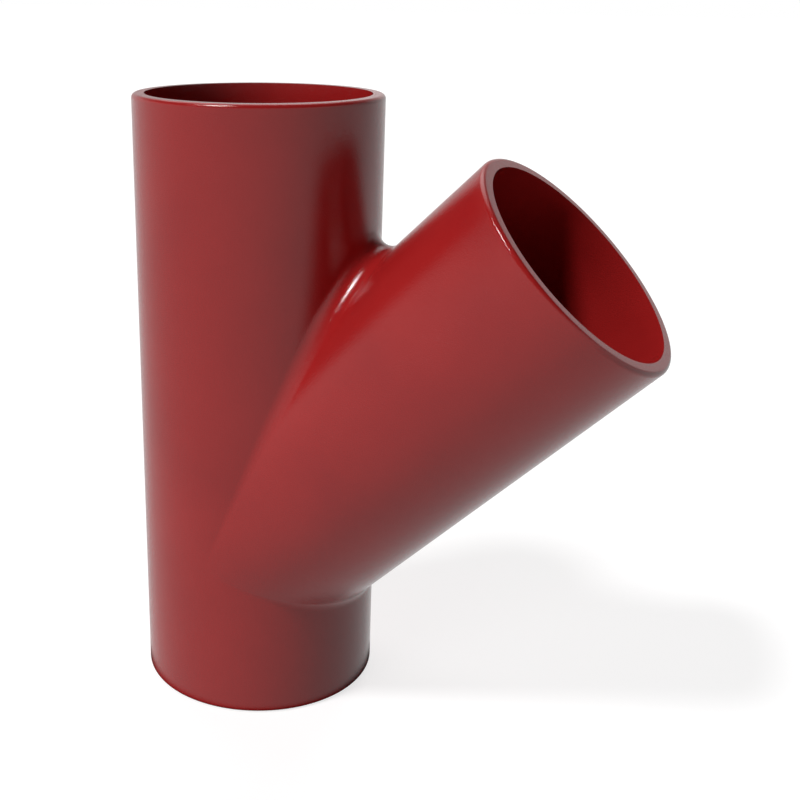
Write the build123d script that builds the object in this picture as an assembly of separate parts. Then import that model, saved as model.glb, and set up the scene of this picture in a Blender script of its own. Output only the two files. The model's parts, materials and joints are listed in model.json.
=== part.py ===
from build123d import *
import math
import os

os.makedirs("parts", exist_ok=True)

# A 45 degree lateral branch for socketless cast-iron drainage pipework, all limbs DN 100.
# Millimetres.  The run stands on Z with the centre of its lower end at the origin, and the
# branch leaves it towards +X and up, in the XZ plane.

# ---- driving dimensions -------------------------------------------------------------------
pipe_od = 110.0            # outside diameter of the run and of the branch, coat included
wall = 5.5                 # wall thickness of both limbs
run_length = 275.0         # the run, end face to end face
branch_height = 70.0       # lower end of the run up to where the two axes meet
branch_length = 205.0      # where the axes meet out to the branch's end face
branch_angle = 45.0        # between the branch and the run's upper limb
outer_blend = 7.5          # casting radius where the limbs' outer walls meet
inner_blend = 3.0          # casting radius on the edge where the bores meet
rim_radius = 2.0           # rounded outer edge of each plain end

# ---- derived ------------------------------------------------------------------------------
outer_radius = pipe_od / 2
bore_radius = outer_radius - wall
bore_overrun = wall        # how far the bore tools stand proud of the end faces


def junction_blend(limb_radius, blend_radius, spread, lean):
    """One side of the blend between two equal cylinders whose axes cross at the junction.

    A ball of blend_radius rolls along the crotch touching both walls, its centre on the
    ellipse where the walls offset by that radius cross.  The solid fills the crotch up to
    the ball and runs out to nothing where the two walls become tangent.  spread is the
    angle between the two limbs, lean the turn of their bisector from +Z towards +X.
    """
    half_spread = math.radians(spread / 2)
    centre_radius = limb_radius + blend_radius
    centre_reach = centre_radius / math.sin(half_spread)

    # the two planes through the tangent points that hold the lines the ball touches
    touch_height = centre_reach - blend_radius * math.sin(half_spread)
    half_wedge = math.atan2(blend_radius * math.cos(half_spread), touch_height)
    far = 2 * centre_reach
    flank = far * math.tan(half_wedge)
    wedge = extrude(Plane.XZ * Polygon((0, 0), (flank, far), (-flank, far), align=None),
                    amount=centre_radius, both=True)

    # the region inside the path of the ball's centre, less what the ball sweeps
    centre_path = Edge.make_ellipse(centre_radius, centre_reach, Plane.YZ, 0, 180)
    chord = Edge.make_line(centre_path @ 1, centre_path @ 0)
    core = extrude(Face(Wire([centre_path, chord])), amount=blend_radius, both=True)
    ball_start = Plane(origin=centre_path @ 0, z_dir=centre_path % 0)
    swept_ball = sweep(ball_start * Circle(blend_radius), path=centre_path)

    return Pos(0, 0, branch_height) * Rot(0, lean, 0) * ((core & wedge) - swept_ball)


def blended_limbs(limb_radius, blend_radius, overrun):
    """Run and branch as solid rods of limb_radius, blended together all round."""
    from_end = (Align.CENTER, Align.CENTER, Align.MIN)
    # the half turn puts the run's seam line opposite the branch, clear of the blend
    run = Pos(0, 0, -overrun) * Rot(0, 0, 180) * Cylinder(
        limb_radius, run_length + 2 * overrun, align=from_end)
    branch = Pos(0, 0, branch_height) * Rot(0, branch_angle, 0) * Cylinder(
        limb_radius, branch_length + overrun, align=from_end)
    upper = junction_blend(limb_radius, blend_radius, branch_angle, branch_angle / 2)
    lower = junction_blend(limb_radius, blend_radius, 180 - branch_angle,
                           90 + branch_angle / 2)
    return run + branch + upper + lower


# ---- the casting --------------------------------------------------------------------------
casting = blended_limbs(outer_radius, outer_blend, 0)
rims = [edge for edge in casting.edges()
        if edge.geom_type == GeomType.CIRCLE and abs(edge.radius - outer_radius) < 1e-3]
casting = fillet(rims, rim_radius)
casting = casting - blended_limbs(bore_radius, inner_blend, bore_overrun)

export_step(casting, "parts/wye_body.step")
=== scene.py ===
import json
import logging
import math
from dataclasses import dataclass
from enum import Enum
from typing import Any, ClassVar, Mapping

import bpy
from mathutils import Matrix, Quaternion, Vector


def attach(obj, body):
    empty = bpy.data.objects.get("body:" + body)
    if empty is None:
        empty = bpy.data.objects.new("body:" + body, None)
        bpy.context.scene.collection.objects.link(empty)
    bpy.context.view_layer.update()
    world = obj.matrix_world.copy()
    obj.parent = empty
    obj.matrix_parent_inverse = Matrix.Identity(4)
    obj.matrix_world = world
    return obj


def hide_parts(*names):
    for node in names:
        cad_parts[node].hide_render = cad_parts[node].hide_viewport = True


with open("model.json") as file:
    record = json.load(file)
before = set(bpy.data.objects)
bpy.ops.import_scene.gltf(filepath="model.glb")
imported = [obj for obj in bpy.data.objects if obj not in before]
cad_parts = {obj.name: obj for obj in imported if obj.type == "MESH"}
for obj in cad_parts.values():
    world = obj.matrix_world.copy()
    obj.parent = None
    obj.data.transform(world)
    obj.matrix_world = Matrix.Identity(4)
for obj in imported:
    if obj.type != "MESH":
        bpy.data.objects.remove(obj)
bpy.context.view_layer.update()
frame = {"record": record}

MM = 0.001
LAMP_DISTANCE = 3.0        # where a lamp hangs; its light depends on its direction alone
LOG = logging.getLogger("wye")

FLOAT, INT, BOOL = "NodeSocketFloat", "NodeSocketInt", "NodeSocketBool"
MATH = "ShaderNodeMath"


# ---------------------------------------------------------------------------- node helpers
def add_node(tree: bpy.types.NodeTree, kind: str, inputs: Mapping[Any, Any] | None = None,
             **settings: Any) -> bpy.types.Node:
    """Add one node to a tree with its settings and links.

    Args:
        tree: the node tree that gets the node.
        kind: the node's type name.
        inputs: for a socket's name or index, a constant, a socket, or a node whose
            first enabled output is linked.
        **settings: properties set on the node before its inputs, such as operation.

    Returns:
        The new node.
    """
    node = tree.nodes.new(kind)
    for name, value in settings.items():
        setattr(node, name, value)
    for key, value in (inputs or {}).items():
        socket = node.inputs[key]
        if isinstance(value, bpy.types.Node):
            value = next(out for out in value.outputs if out.enabled)
        if isinstance(value, bpy.types.NodeSocket):
            tree.links.new(value, socket)
        else:
            socket.default_value = value
    return node


def linear(hex_colour: str) -> tuple[float, float, float, float]:
    """Turn an sRGB hex colour into linear RGBA.

    Args:
        hex_colour: six hex digits with a leading hash.

    Returns:
        Red, green, blue and an alpha of 1, linear.
    """
    channels = (int(hex_colour[i:i + 2], 16) / 255 for i in (1, 3, 5))
    return (*(c / 12.92 if c <= 0.04045 else ((c + 0.055) / 1.055) ** 2.4
              for c in channels), 1.0)


def new_geometry_tree(name: str, sizes: Mapping[str, str]) -> bpy.types.GeometryNodeTree:
    """Make an empty geometry tree with named inputs and one geometry output.

    Args:
        name: the tree's name.
        sizes: input name to socket type, in order.

    Returns:
        The tree, with its sockets and no nodes yet.
    """
    tree = bpy.data.node_groups.new(name, "GeometryNodeTree")
    for label, socket_type in sizes.items():
        tree.interface.new_socket(label, in_out="INPUT", socket_type=socket_type)
    tree.interface.new_socket("Geometry", in_out="OUTPUT", socket_type="NodeSocketGeometry")
    return tree


def give_surface(tree: bpy.types.GeometryNodeTree, surface: bpy.types.Node,
                 inward: bpy.types.NodeSocket) -> None:
    """End a group with its surface, turned over where it should face the axis.

    Args:
        tree: the group.
        surface: the node that makes the surface, facing outwards.
        inward: whether the surface is turned over.
    """
    flipped = add_node(tree, "GeometryNodeFlipFaces", {"Mesh": surface})
    faced = add_node(tree, "GeometryNodeSwitch",
                     {"Switch": inward, "False": surface, "True": flipped},
                     input_type="GEOMETRY")
    add_node(tree, "NodeGroupOutput", {"Geometry": faced})


# ---------------------------------------------------------------------------- the surfaces
class TurnedStrip:
    """A strip of surface turned about a limb's axis, as a geometry node group.

    The strip runs from a start height to an end height while its radius goes from one
    value to another, straight or as a quarter round.  Its start edge may rise on the +X
    side and on the -X side, which is how a wall ends on the line where a crotch's blend
    begins.
    """

    SIZES: ClassVar[Mapping[str, str]] = {
        "Columns": INT, "Rows": INT, "Start Radius": FLOAT, "End Radius": FLOAT,
        "Start Height": FLOAT, "End Height": FLOAT, "Rise Front": FLOAT,
        "Rise Back": FLOAT, "Rounded": BOOL, "Inward": BOOL}

    @classmethod
    def build(cls) -> bpy.types.GeometryNodeTree:
        """Build the group.

        Returns:
            The node group, with the inputs that SIZES names.
        """
        tree = new_geometry_tree("turned_strip", cls.SIZES)
        size = add_node(tree, "NodeGroupInput").outputs
        columns = add_node(tree, MATH, {0: size["Columns"], 1: 1.0}, operation="ADD")
        rows = add_node(tree, MATH, {0: size["Rows"], 1: 1.0}, operation="ADD")
        grid = add_node(tree, "GeometryNodeMeshGrid",
                        {"Size X": 1.0, "Size Y": 1.0, "Vertices X": columns,
                         "Vertices Y": rows})
        place = add_node(tree, "ShaderNodeSeparateXYZ",
                         {0: add_node(tree, "GeometryNodeInputPosition")}).outputs
        around = add_node(tree, MATH, {0: place["X"], 1: 0.5}, operation="ADD")
        angle = add_node(tree, MATH, {0: around, 1: math.tau}, operation="MULTIPLY")
        along = add_node(tree, MATH, {0: place["Y"], 1: 0.5}, operation="ADD")
        cosine = add_node(tree, MATH, {0: angle}, operation="COSINE")
        sine = add_node(tree, MATH, {0: angle}, operation="SINE")

        # the start edge rises as a plane section towards a crotch, and stays level elsewhere
        facing = add_node(tree, MATH, {0: cosine, 1: 0.0}, operation="MAXIMUM")
        behind = add_node(tree, MATH, {0: cosine, 1: 0.0}, operation="MINIMUM")
        front = add_node(tree, MATH, {0: facing, 1: size["Rise Front"],
                                      2: size["Start Height"]}, operation="MULTIPLY_ADD")
        drop = add_node(tree, MATH, {0: behind, 1: size["Rise Back"]}, operation="MULTIPLY")
        start = add_node(tree, MATH, {0: front, 1: drop}, operation="SUBTRACT")

        # a quarter round goes by cosine across and by sine along, a straight strip by neither
        turn = add_node(tree, MATH, {0: along, 1: math.pi / 2}, operation="MULTIPLY")
        fall = add_node(tree, MATH, {0: turn}, operation="COSINE")
        across_round = add_node(tree, MATH, {0: 1.0, 1: fall}, operation="SUBTRACT")
        along_round = add_node(tree, MATH, {0: turn}, operation="SINE")
        across = add_node(tree, "GeometryNodeSwitch",
                          {"Switch": size["Rounded"], "False": along, "True": across_round},
                          input_type="FLOAT")
        climb = add_node(tree, "GeometryNodeSwitch",
                         {"Switch": size["Rounded"], "False": along, "True": along_round},
                         input_type="FLOAT")
        radius = add_node(tree, "ShaderNodeMapRange",
                          {"Value": across, "To Min": size["Start Radius"],
                           "To Max": size["End Radius"]}, clamp=False)
        height = add_node(tree, "ShaderNodeMapRange",
                          {"Value": climb, "To Min": start, "To Max": size["End Height"]},
                          clamp=False)
        x = add_node(tree, MATH, {0: radius, 1: cosine}, operation="MULTIPLY")
        y = add_node(tree, MATH, {0: radius, 1: sine}, operation="MULTIPLY")
        spot = add_node(tree, "ShaderNodeCombineXYZ", {"X": x, "Y": y, "Z": height})
        turned = add_node(tree, "GeometryNodeSetPosition",
                          {"Geometry": grid, "Position": spot})
        give_surface(tree, turned, size["Inward"])
        return tree


class CrotchBlend:
    """The blend in one crotch, as a geometry node group.

    A ball rolls along the crotch and touches both walls, and the surface is the ball's
    side between the two lines it touches.  The crotch's bisector is +Z and the two limbs
    lean to -X and +X of it by the half spread.  The blend narrows to a point at each end.
    """

    SIZES: ClassVar[Mapping[str, str]] = {
        "Columns": INT, "Rows": INT, "Wall Radius": FLOAT, "Ball Radius": FLOAT,
        "Half Spread": FLOAT, "Inward": BOOL}

    @classmethod
    def build(cls) -> bpy.types.GeometryNodeTree:
        """Build the group.

        Returns:
            The node group, with the inputs that SIZES names.
        """
        tree = new_geometry_tree("crotch_blend", cls.SIZES)
        size = add_node(tree, "NodeGroupInput").outputs

        # half a turn takes half of a limb's columns, so its corners meet the walls' corners
        half_way = add_node(tree, MATH, {0: size["Columns"], 1: 0.5, 2: 1.0},
                            operation="MULTIPLY_ADD")
        rows = add_node(tree, MATH, {0: size["Rows"], 1: 1.0}, operation="ADD")
        grid = add_node(tree, "GeometryNodeMeshGrid",
                        {"Size X": 1.0, "Size Y": 2.0, "Vertices X": half_way,
                         "Vertices Y": rows})
        place = add_node(tree, "ShaderNodeSeparateXYZ",
                         {0: add_node(tree, "GeometryNodeInputPosition")}).outputs
        angle = add_node(tree, MATH, {0: place["X"], 1: math.pi}, operation="MULTIPLY")
        sine = add_node(tree, MATH, {0: angle}, operation="SINE")
        cosine_raw = add_node(tree, MATH, {0: angle}, operation="COSINE")
        cosine = add_node(tree, MATH, {0: cosine_raw, 1: 0.0}, operation="MAXIMUM")
        lean_sine = add_node(tree, MATH, {0: size["Half Spread"]}, operation="SINE")
        lean_cosine = add_node(tree, MATH, {0: size["Half Spread"]}, operation="COSINE")

        # the ball's centre, on the ellipse where the two offset walls cross
        reach = add_node(tree, MATH, {0: size["Wall Radius"], 1: size["Ball Radius"]},
                         operation="ADD")
        centre_y = add_node(tree, MATH, {0: reach, 1: sine}, operation="MULTIPLY")
        rise = add_node(tree, MATH, {0: reach, 1: cosine}, operation="MULTIPLY")
        centre_z = add_node(tree, MATH, {0: rise, 1: lean_sine}, operation="DIVIDE")

        # the arc of contact is as wide as the walls' normals are apart
        opening = add_node(tree, MATH, {0: cosine, 1: lean_cosine}, operation="MULTIPLY")
        half_arc = add_node(tree, MATH, {0: opening}, operation="ARCSINE")
        arc_cosine = add_node(tree, MATH, {0: half_arc}, operation="COSINE")
        middle_y = add_node(tree, MATH, {0: sine, 1: arc_cosine}, operation="DIVIDE")
        slope = add_node(tree, MATH, {0: cosine, 1: lean_sine}, operation="MULTIPLY")
        middle_z = add_node(tree, MATH, {0: slope, 1: arc_cosine}, operation="DIVIDE")
        swing = add_node(tree, MATH, {0: place["Y"], 1: half_arc}, operation="MULTIPLY")
        swing_sine = add_node(tree, MATH, {0: swing}, operation="SINE")
        swing_cosine = add_node(tree, MATH, {0: swing}, operation="COSINE")
        side = add_node(tree, "ShaderNodeCombineXYZ", {"X": swing_sine})
        middle = add_node(tree, "ShaderNodeCombineXYZ", {"Y": middle_y, "Z": middle_z})
        down = add_node(tree, "ShaderNodeVectorMath", {0: middle, "Scale": swing_cosine},
                        operation="SCALE")
        towards = add_node(tree, "ShaderNodeVectorMath", {0: side, 1: down},
                           operation="ADD")
        spoke = add_node(tree, "ShaderNodeVectorMath",
                         {0: towards, "Scale": size["Ball Radius"]}, operation="SCALE")
        centre = add_node(tree, "ShaderNodeCombineXYZ", {"Y": centre_y, "Z": centre_z})
        spot = add_node(tree, "ShaderNodeVectorMath", {0: centre, 1: spoke},
                        operation="SUBTRACT")
        rolled = add_node(tree, "GeometryNodeSetPosition",
                          {"Geometry": grid, "Position": spot})
        give_surface(tree, rolled, size["Inward"])
        return tree


# ---------------------------------------------------------------------------- the casting
class Limb(Enum):
    """The three plain-ended limbs that leave the junction."""

    UPPER = "upper"
    LOWER = "lower"
    BRANCH = "branch"


@dataclass
class Casting:
    """The wye's one casting: run, branch, crotch blends, rims and bores.

    Sizes are in metres and radians.  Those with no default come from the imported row.  The
    blends and the rim are the part's own named sizes again, which no mount states.
    """

    outer_radius: float
    bore_radius: float
    run_length: float
    branch_height: float
    branch_length: float
    branch_angle: float
    outer_blend: float = 7.5 * MM
    inner_blend: float = 3.0 * MM
    rim_radius: float = 2.0 * MM
    columns: int = 256
    wall_rows: int = 36
    bore_rows: int = 28
    blend_rows: int = 14
    rim_rows: int = 8
    face_rows: int = 2
    weld_gap: float = 0.002 * MM
    crease: float = math.radians(50)
    normal_weight: int = 100
    name: str = "wye_casting"

    @classmethod
    def from_record(cls, record: Mapping[str, Any]) -> "Casting":
        """Read the casting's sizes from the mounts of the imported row.

        Args:
            record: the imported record.

        Returns:
            A casting with the row's radii, lengths and branch angle.
        """
        mounts = {mount["name"]: mount for mount in record["mounts"]}
        axis = Vector(mounts["branch_end"]["axis"]).normalized()
        mouth = Vector(mounts["branch_end"]["pos_m"])
        reach = mouth.x / axis.x
        return cls(outer_radius=mounts["branch_spigot"]["dims"]["r_mm"] * MM,
                   bore_radius=mounts["run_bore"]["dims"]["r_mm"] * MM,
                   run_length=mounts["run_upper_end"]["pos_m"][2],
                   branch_height=mouth.z - reach * axis.z,
                   branch_length=reach,
                   branch_angle=math.atan2(axis.x, axis.z))

    def length_of(self, limb: Limb) -> float:
        """Give the distance from where the axes meet to a limb's end face.

        Args:
            limb: the limb.

        Returns:
            The distance.
        """
        return {Limb.UPPER: self.run_length - self.branch_height,
                Limb.LOWER: self.branch_height,
                Limb.BRANCH: self.branch_length}[limb]

    def turn_of(self, limb: Limb) -> tuple[float, float, float]:
        """Give the turn that carries +Z onto a limb's axis and keeps its crotches on X.

        Args:
            limb: the limb.

        Returns:
            The turn about X, Y and Z.
        """
        return {Limb.UPPER: (0.0, 0.0, 0.0),
                Limb.LOWER: (math.pi, 0.0, 0.0),
                Limb.BRANCH: (0.0, self.branch_angle, 0.0)}[limb]

    def rises_of(self, limb: Limb, reach: float) -> tuple[float, float]:
        """Give how far the edges of the blends climb a limb on either side.

        Args:
            limb: the limb.
            reach: wall radius plus ball radius.

        Returns:
            The climb on the limb's +X side and on its -X side.
        """
        steep = reach / math.tan(self.branch_angle / 2)
        shallow = reach * math.tan(self.branch_angle / 2)
        return {Limb.UPPER: (steep, 0.0), Limb.LOWER: (shallow, 0.0),
                Limb.BRANCH: (shallow, steep)}[limb]

    def limb_parts(self, tree: bpy.types.GeometryNodeTree,
                   size: Mapping[str, bpy.types.NodeSocket],
                   strip: bpy.types.GeometryNodeTree, limb: Limb) -> list[bpy.types.Node]:
        """Add a limb's outer wall, rim, end face and bore to the casting's tree.

        Args:
            tree: the casting's tree.
            size: the tree's inputs by name.
            strip: the turned strip's node group.
            limb: the limb.

        Returns:
            One node for each surface, in its place.
        """
        length = self.length_of(limb)
        shoulder = add_node(tree, MATH, {0: length, 1: size["Rim Radius"]},
                            operation="SUBTRACT")
        rim_edge = add_node(tree, MATH, {0: size["Outer Radius"], 1: size["Rim Radius"]},
                            operation="SUBTRACT")
        front, back = self.rises_of(limb, self.outer_radius + self.outer_blend)
        bore_front, bore_back = self.rises_of(limb, self.bore_radius + self.inner_blend)
        plain = {"Columns": size["Columns"], "Start Height": 0.0, "Rise Front": 0.0,
                 "Rise Back": 0.0, "Rounded": False, "Inward": False}
        wall = {"Rows": self.wall_rows, "Start Radius": size["Outer Radius"],
                "End Radius": size["Outer Radius"], "End Height": shoulder,
                "Rise Front": front, "Rise Back": back}
        rim = {"Rows": self.rim_rows, "Start Radius": size["Outer Radius"],
               "End Radius": rim_edge, "Start Height": shoulder, "End Height": length,
               "Rounded": True}
        face = {"Rows": self.face_rows, "Start Radius": rim_edge,
                "End Radius": size["Bore Radius"], "Start Height": length,
                "End Height": length}
        bore = {"Rows": self.bore_rows, "Start Radius": size["Bore Radius"],
                "End Radius": size["Bore Radius"], "End Height": length,
                "Rise Front": bore_front, "Rise Back": bore_back, "Inward": True}
        made = [add_node(tree, "GeometryNodeGroup", {**plain, **surface}, node_tree=strip)
                for surface in (wall, rim, face, bore)]
        return [add_node(tree, "GeometryNodeTransform",
                         {"Geometry": part, "Rotation": self.turn_of(limb)})
                for part in made]

    def crotch_parts(self, tree: bpy.types.GeometryNodeTree,
                     size: Mapping[str, bpy.types.NodeSocket],
                     blend: bpy.types.GeometryNodeTree) -> list[bpy.types.Node]:
        """Add the blends of both crotches to the casting's tree, outside and in the bores.

        Args:
            tree: the casting's tree.
            size: the tree's inputs by name.
            blend: the crotch blend's node group.

        Returns:
            One node for each blend, in its place.
        """
        narrow = (self.branch_angle / 2, self.branch_angle / 2)
        wide = ((math.pi - self.branch_angle) / 2, (math.pi + self.branch_angle) / 2)
        parts: list[bpy.types.Node] = []
        for half_spread, lean in (narrow, wide):
            for radius, ball, inward in (("Outer Radius", "Outer Blend", False),
                                         ("Bore Radius", "Inner Blend", True)):
                rolled = add_node(tree, "GeometryNodeGroup",
                                  {"Columns": size["Columns"], "Rows": self.blend_rows,
                                   "Wall Radius": size[radius], "Ball Radius": size[ball],
                                   "Half Spread": half_spread, "Inward": inward},
                                  node_tree=blend)
                parts.append(add_node(tree, "GeometryNodeTransform",
                                      {"Geometry": rolled, "Rotation": (0.0, lean, 0.0)}))
        return parts

    def build_tree(self) -> bpy.types.GeometryNodeTree:
        """Build the tree that joins every surface of the casting into one closed mesh.

        Returns:
            The tree, whose inputs are the sizes that can be set by themselves.
        """
        strip, blend = TurnedStrip.build(), CrotchBlend.build()
        tree = new_geometry_tree(self.name, {
            "Outer Radius": FLOAT, "Bore Radius": FLOAT, "Rim Radius": FLOAT,
            "Outer Blend": FLOAT, "Inner Blend": FLOAT, "Columns": INT,
            "Material": "NodeSocketMaterial"})
        size = add_node(tree, "NodeGroupInput").outputs
        parts = [part for limb in Limb for part in self.limb_parts(tree, size, strip, limb)]
        parts += self.crotch_parts(tree, size, blend)
        joined = add_node(tree, "GeometryNodeJoinGeometry")
        for part in parts:
            tree.links.new(part.outputs[0], joined.inputs[0])
        raised = add_node(tree, "GeometryNodeTransform",
                          {"Geometry": joined, "Translation": (0.0, 0.0, self.branch_height)})
        welded = add_node(tree, "GeometryNodeMergeByDistance",
                          {"Geometry": raised, "Distance": self.weld_gap})

        # smooth all over, with a sharp edge only where the end faces meet the bores
        fold = add_node(tree, "GeometryNodeInputMeshEdgeAngle")
        gentle = add_node(tree, "FunctionNodeCompare",
                          {0: fold.outputs["Unsigned Angle"], 1: self.crease},
                          data_type="FLOAT", operation="LESS_THAN")
        smooth = add_node(tree, "GeometryNodeSetShadeSmooth",
                          {"Geometry": welded, "Shade Smooth": True}, domain="FACE")
        creased = add_node(tree, "GeometryNodeSetShadeSmooth",
                           {"Geometry": smooth, "Shade Smooth": gentle}, domain="EDGE")
        real = add_node(tree, "GeometryNodeRealizeInstances", {"Geometry": creased})
        coated = add_node(tree, "GeometryNodeSetMaterial",
                          {"Geometry": real, "Material": size["Material"]})
        add_node(tree, "NodeGroupOutput", {"Geometry": coated})
        return tree

    def build(self, coat: bpy.types.Material) -> bpy.types.Object:
        """Make the casting's mesh and give it to the frame.

        Args:
            coat: the finish on every surface, inside and out.

        Returns:
            The finished piece, a plain mesh at the origin.
        """
        holder = bpy.data.objects.new("casting_source",
                                      bpy.data.meshes.new("casting_source"))
        bpy.context.scene.collection.objects.link(holder)
        tree = self.build_tree()
        modifier = holder.modifiers.new("wye", "NODES")
        modifier.node_group = tree
        values = {"Outer Radius": self.outer_radius, "Bore Radius": self.bore_radius,
                  "Rim Radius": self.rim_radius, "Outer Blend": self.outer_blend,
                  "Inner Blend": self.inner_blend, "Columns": self.columns,
                  "Material": coat}
        for item in tree.interface.items_tree:
            if item.item_type == "SOCKET" and item.in_out == "INPUT":
                modifier[item.identifier] = values[item.name]
        evened = holder.modifiers.new("normals", "WEIGHTED_NORMAL")
        evened.keep_sharp = True
        evened.weight = self.normal_weight
        graph = bpy.context.evaluated_depsgraph_get()
        mesh = bpy.data.meshes.new_from_object(
            holder.evaluated_get(graph), preserve_all_data_layers=True, depsgraph=graph)
        mesh.name = self.name
        piece = bpy.data.objects.new(self.name, mesh)
        bpy.context.scene.collection.objects.link(piece)
        bpy.data.objects.remove(holder)
        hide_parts("wye_body")
        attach(piece, "root")
        return piece


# ---------------------------------------------------------------------------- the finish
@dataclass(frozen=True)
class EpoxyCoat:
    """Baked red epoxy powder on sand-cast iron.

    The powder flows out to a smooth, glossy skin over the fine grain of the sand mould, so
    highlights are bright with a soft, slightly speckled edge, and the film is a little
    thicker and darker in some places than in others.
    """

    colour: str = "#a01f1f"
    thick_film: str = "#9b1d1e"
    thin_film: str = "#a42121"
    cloud_mm: float = 45.0
    cloud_detail: float = 3.0
    cloud_roughness: float = 0.55
    thick_below: float = 0.3
    thin_above: float = 0.7
    grain_mm: float = 0.6
    grain_detail: float = 2.0
    grain_roughness: float = 0.6
    grain_depth_mm: float = 0.095
    ripple_mm: float = 14.0
    ripple_detail: float = 1.0
    ripple_depth_mm: float = 0.20
    ripple_strength: float = 0.10
    roughness: float = 0.09
    roughness_drift: float = 0.03
    ior: float = 1.5
    name: str = "epoxy_coat_on_cast_iron"

    def build(self) -> bpy.types.Material:
        """Build the material.

        Returns:
            The coat as a procedural material on Object coordinates.
        """
        material = bpy.data.materials.new(self.name)
        material.use_nodes = True
        tree = material.node_tree
        tree.nodes.clear()
        spot = add_node(tree, "ShaderNodeTexCoord").outputs["Object"]

        # the film's thickness drifts over patches a few fingers wide
        cloud = add_node(tree, "ShaderNodeTexNoise",
                         {"Vector": spot, "Scale": 1 / (self.cloud_mm * MM),
                          "Detail": self.cloud_detail, "Roughness": self.cloud_roughness})
        tone = add_node(tree, "ShaderNodeValToRGB", {"Fac": cloud.outputs["Fac"]})
        thick, thin = tone.color_ramp.elements
        thick.position, thick.color = self.thick_below, linear(self.thick_film)
        thin.position, thin.color = self.thin_above, linear(self.thin_film)
        middle = tone.color_ramp.elements.new((self.thick_below + self.thin_above) / 2)
        middle.color = linear(self.colour)

        # sand grain under the film: the sand is 0.2 to 0.3 mm, too fine to show, so it is
        # drawn two to three times as coarse
        grain = add_node(tree, "ShaderNodeTexNoise",
                         {"Vector": spot, "Scale": 1 / (self.grain_mm * MM),
                          "Detail": self.grain_detail, "Roughness": self.grain_roughness})
        fine = add_node(tree, "ShaderNodeBump",
                        {"Strength": 1.0, "Distance": self.grain_depth_mm * MM,
                         "Height": grain.outputs["Fac"]})

        # the slow ripple of a mould face and of a film that has flowed
        ripple = add_node(tree, "ShaderNodeTexNoise",
                          {"Vector": spot, "Scale": 1 / (self.ripple_mm * MM),
                           "Detail": self.ripple_detail})
        waved = add_node(tree, "ShaderNodeBump",
                         {"Strength": self.ripple_strength,
                          "Distance": self.ripple_depth_mm * MM,
                          "Height": ripple.outputs["Fac"], "Normal": fine})
        sheen = add_node(tree, "ShaderNodeMapRange",
                         {"Value": grain.outputs["Fac"],
                          "To Min": self.roughness - self.roughness_drift,
                          "To Max": self.roughness + self.roughness_drift})
        skin = add_node(tree, "ShaderNodeBsdfPrincipled",
                        {"Base Color": tone.outputs["Color"], "Roughness": sheen,
                         "IOR": self.ior, "Normal": waved})
        add_node(tree, "ShaderNodeOutputMaterial", {"Surface": skin})
        return material


# ---------------------------------------------------------------------------- the studio
def direction(azimuth: float, elevation: float) -> Vector:
    """Give the unit vector from the part towards a viewer or lamp.

    Args:
        azimuth: degrees round the part, 0 on the -Y side and 90 on the +X side.
        elevation: degrees above the horizon.

    Returns:
        The unit vector.
    """
    turn, rise = math.radians(azimuth), math.radians(elevation)
    return Vector((math.sin(turn) * math.cos(rise), -math.cos(turn) * math.cos(rise),
                   math.sin(rise)))


@dataclass
class StudioLamp:
    """A far soft box, given by where it hangs, how wide it looks and how bright it lights.

    Azimuth, elevation and spread are in degrees.  The light is the irradiance on a surface
    that faces the lamp, over pi, so that 1 shows a matt surface at its own colour.
    """

    name: str
    azimuth: float
    elevation: float
    spread: float
    light: float
    in_gloss: bool = True
    on_matt: bool = True

    def build(self) -> None:
        """Hang the lamp."""
        lamp = bpy.data.lights.new(self.name, "SUN")
        lamp.angle = math.radians(self.spread)
        lamp.energy = self.light * math.pi
        holder = bpy.data.objects.new(self.name, lamp)
        away = direction(self.azimuth, self.elevation)
        holder.location = away * LAMP_DISTANCE
        holder.rotation_euler = away.to_track_quat("Z", "Y").to_euler()
        holder.visible_camera = False
        holder.visible_glossy = self.in_gloss
        holder.visible_diffuse = self.on_matt
        bpy.context.scene.collection.objects.link(holder)


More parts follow.
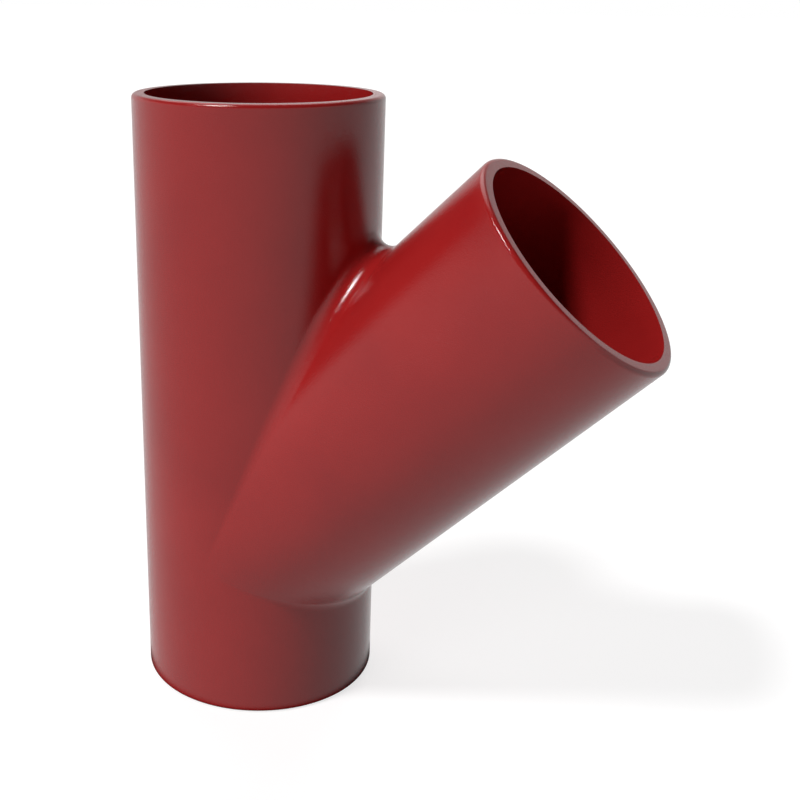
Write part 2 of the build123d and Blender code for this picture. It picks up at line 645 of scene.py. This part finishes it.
@dataclass
class Studio:
    """A pale floor, a white sweep under a dim ceiling, and five soft lamps.

    The key lamp and the front fill light the near side, the back lamp and the back fill
    the far side, and the low back lamp only gives the gloss its light from behind.  The
    eye sees white all round, gloss mirrors the sweep and the ceiling, and the surroundings
    put no light of their own on matt surfaces.
    """

    outer_radius: float
    bore_radius: float
    floor_half: float = 12.0
    floor_seen: float = 0.74
    floor_colour: str = "#aaaaaa"
    # painted shade: the share of the floor's glow left under the pipe
    shade_under_pipe: float = 0.04
    seen_clearance: float = 0.5 * MM
    mirrored_clearance: float = 2.0 * MM
    glow_fade: float = 3.0 * MM
    sweep_glow: float = 0.75
    sweep_glow_behind: float = 0.50
    beside: float = 0.2
    behind: float = 0.9
    sweep_top: float = 15.0
    ceiling_glow: float = 0.03
    ceiling_foot: float = 33.0
    lamps: tuple[StudioLamp, ...] = (
        StudioLamp("key", azimuth=-34.0, elevation=58.0, spread=11.0, light=0.62),
        StudioLamp("front_fill", azimuth=-21.0, elevation=6.0, spread=36.0, light=0.50,
                   in_gloss=False),
        StudioLamp("back", azimuth=-145.0, elevation=52.0, spread=46.0, light=0.26),
        StudioLamp("low_back", azimuth=182.0, elevation=22.0, spread=60.0, light=0.05,
                   on_matt=False),
        StudioLamp("back_fill", azimuth=190.0, elevation=14.0, spread=26.0, light=0.45,
                   in_gloss=False),
    )

    def build(self) -> None:
        """Set up the floor, the surroundings and the lamps."""
        self.build_world()
        self.build_floor()
        for lamp in self.lamps:
            lamp.build()

    def build_world(self) -> None:
        """Surround the part: white to the eye, and in its gloss a sweep and dim ceiling.

        The sweep glows from the horizon up to sweep_top and is gone at ceiling_foot, both
        in degrees, and it is less bright behind the part, on the +Y side.
        """
        world = bpy.data.worlds.new("studio")
        bpy.context.scene.world = world
        world.use_nodes = True
        tree = world.node_tree
        tree.nodes.clear()
        ray = add_node(tree, "ShaderNodeLightPath").outputs
        towards = add_node(tree, "ShaderNodeSeparateXYZ",
                           {0: add_node(tree, "ShaderNodeTexCoord").outputs["Generated"]})
        round_glow = add_node(tree, "ShaderNodeMapRange",
                              {"Value": towards.outputs["Y"], "From Min": self.beside,
                               "From Max": self.behind, "To Min": self.sweep_glow,
                               "To Max": self.sweep_glow_behind},
                              interpolation_type="SMOOTHSTEP")
        sweep = add_node(tree, "ShaderNodeMapRange",
                         {"Value": towards.outputs["Z"],
                          "From Min": math.sin(math.radians(self.sweep_top)),
                          "From Max": math.sin(math.radians(self.ceiling_foot)),
                          "To Min": round_glow, "To Max": self.ceiling_glow},
                         interpolation_type="SMOOTHSTEP")
        mirrored = add_node(tree, MATH, {0: ray["Is Glossy Ray"], 1: sweep},
                            operation="MULTIPLY")
        seen = add_node(tree, "ShaderNodeMix",
                        {0: ray["Is Camera Ray"], 2: mirrored, 3: 1.0}, data_type="FLOAT")
        glow = add_node(tree, "ShaderNodeBackground",
                        {"Color": linear("#ffffff"), "Strength": seen})
        add_node(tree, "ShaderNodeOutputWorld", {"Surface": glow})

    def build_floor(self) -> None:
        """Lay a matt pale floor that looks white, takes the part's shadow, and has its glow
        dimmed under the pipe as painted shade.
        """
        half = self.floor_half
        mesh = bpy.data.meshes.new("floor")
        mesh.from_pydata([(-half, -half, 0), (half, -half, 0), (half, half, 0),
                          (-half, half, 0)], [], [(0, 1, 2, 3)])
        floor = bpy.data.objects.new("floor", mesh)
        bpy.context.scene.collection.objects.link(floor)
        paint = bpy.data.materials.new("matt_sweep_paint")
        paint.use_nodes = True
        tree = paint.node_tree
        tree.nodes.clear()
        ray = add_node(tree, "ShaderNodeLightPath").outputs

        # no light gets in under the pipe, so the floor's glow is dimmed there as painted
        # shade, and the glow stops at the run's foot: to the eye it ends inside the wall, and
        # in the gloss just clear of the bottom rim, so the rim mirrors a painted shade at the
        # contact
        spot = add_node(tree, "ShaderNodeTexCoord").outputs["Object"]
        reach = add_node(tree, "ShaderNodeVectorMath", {0: spot}, operation="LENGTH")
        seen_foot = self.bore_radius + self.seen_clearance
        mirrored_foot = self.outer_radius + self.mirrored_clearance
        foot = add_node(tree, MATH, {0: ray["Is Glossy Ray"], 1: mirrored_foot - seen_foot,
                                     2: seen_foot}, operation="MULTIPLY_ADD")
        past = add_node(tree, MATH, {0: reach.outputs["Value"], 1: foot},
                        operation="SUBTRACT")
        # painted shade: the floor's glow, full outside the foot and dimmed under the pipe
        painted_shade_mask = add_node(tree, "ShaderNodeMapRange",
                           {"Value": past, "From Max": self.glow_fade,
                            "To Min": self.shade_under_pipe, "To Max": 1.0})
        seen = add_node(tree, MATH, {0: ray["Is Camera Ray"], 1: self.floor_seen},
                        operation="MULTIPLY")
        mirrored = add_node(tree, MATH, {0: ray["Is Glossy Ray"], 1: self.sweep_glow,
                                         2: seen}, operation="MULTIPLY_ADD")
        glow = add_node(tree, MATH, {0: mirrored, 1: painted_shade_mask}, operation="MULTIPLY")
        matt = add_node(tree, "ShaderNodeBsdfDiffuse", {"Color": linear(self.floor_colour)})
        black = add_node(tree, "ShaderNodeBsdfDiffuse", {"Color": linear("#000000")})
        own = add_node(tree, "ShaderNodeMixShader",
                       {0: ray["Is Glossy Ray"], 1: matt, 2: black})
        lit = add_node(tree, "ShaderNodeEmission", {"Strength": glow})
        both = add_node(tree, "ShaderNodeAddShader", {0: own, 1: lit})
        add_node(tree, "ShaderNodeOutputMaterial", {"Surface": both})
        mesh.materials.append(paint)


@dataclass
class StudioCamera:
    """The camera, given by the point it looks at and by where it stands from there.

    Angles are in degrees, distances in metres, and lens and sensor in millimetres.  The
    point lies aim_height up the run's axis and aim_right to the camera's level right, and
    the shift sets it to the left of the frame's middle.
    """

    azimuth: float = 25.8819
    elevation: float = 18.6590
    roll: float = 0.4254
    distance: float = 0.571579
    aim_right: float = 0.017729
    aim_height: float = 0.138518
    lens: float = 54.8525
    sensor: float = 36.0
    shift_x: float = 0.128
    shift_y: float = -0.011247
    nearest: float = 0.01
    farthest: float = 50.0

    def build(self) -> None:
        """Make the scene's camera."""
        turn = math.radians(self.azimuth)
        right = Vector((math.cos(turn), math.sin(turn), 0.0))
        back = direction(self.azimuth, self.elevation)
        lens = bpy.data.cameras.new("camera")
        lens.lens, lens.sensor_width = self.lens, self.sensor
        lens.shift_x, lens.shift_y = self.shift_x, self.shift_y
        lens.clip_start, lens.clip_end = self.nearest, self.farthest
        camera = bpy.data.objects.new("camera", lens)
        camera.location = (right * self.aim_right + Vector((0, 0, self.aim_height))
                           + back * self.distance)
        level = (-back).to_track_quat("-Z", "Y")
        tilt = Quaternion((0.0, 0.0, 1.0), math.radians(self.roll))
        camera.rotation_euler = (level @ tilt).to_euler()
        bpy.context.scene.collection.objects.link(camera)
        bpy.context.scene.camera = camera


def main() -> None:
    """Build the wye, its studio and its camera, and report each piece."""
    logging.basicConfig(level=logging.INFO, format="%(name)s: %(message)s")
    bpy.context.scene.view_settings.view_transform = "Standard"
    casting = Casting.from_record(frame["record"])
    piece = casting.build(EpoxyCoat().build())
    LOG.info("%s: %d faces", piece.name, len(piece.data.polygons))
    Studio(casting.outer_radius, casting.bore_radius).build()
    StudioCamera().build()


if __name__ == "__main__":
    main()
